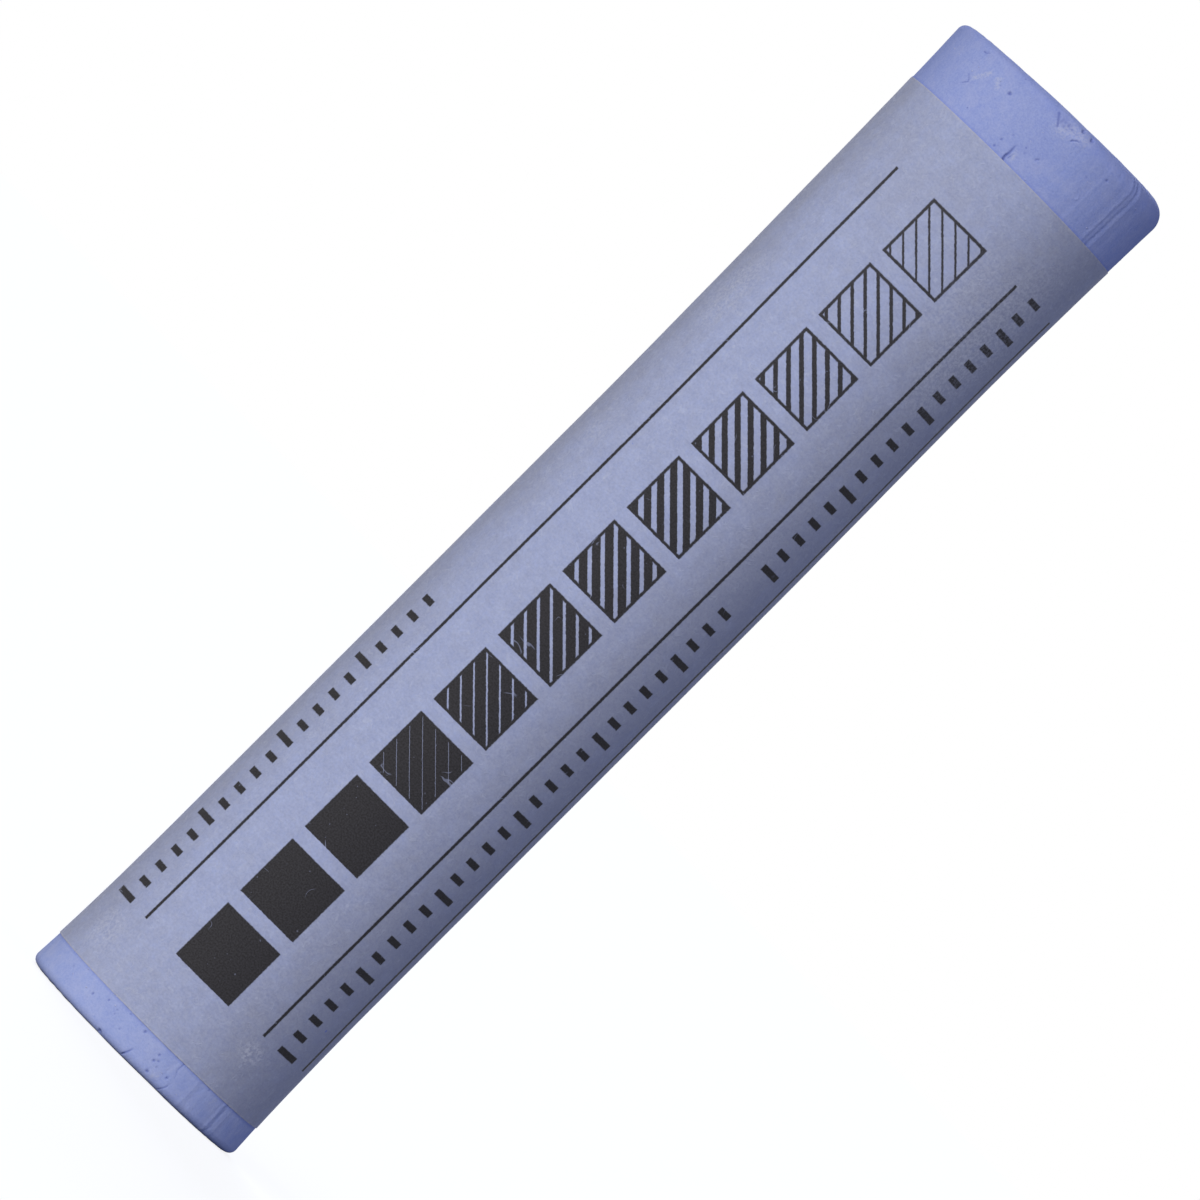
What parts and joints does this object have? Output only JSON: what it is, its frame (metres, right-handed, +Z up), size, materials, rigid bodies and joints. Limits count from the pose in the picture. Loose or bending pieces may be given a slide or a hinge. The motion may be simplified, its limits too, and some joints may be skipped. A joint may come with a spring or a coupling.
{
  "type": "soft pastel stick",
  "caption": "Round soft pastel stick for drawing, slightly waisted, with bare rounded ends and a printed translucent paper rolled round its middle.",
  "frame": {"origin": "the middle of the stick's bounding box, on the surface that it stands on: its squarer end, which has the shorter bare stretch", "axes": "+Z runs up along the stick, towards the end that was cut a little out of square; -Y is the printed front of the wrapper and +Y the back, where the paper laps; +X is the longer side of the upper end"},
  "size_m": [0.0134, 0.0135, 0.064],
  "materials": {
    "pigment": "matte",
    "wrapper_paper": "matte"
  },
  "bodies": {
    "root": {"pastel_stick": "pigment", "paper_wrapper": "wrapper_paper"}
  },
  "joints": []
}
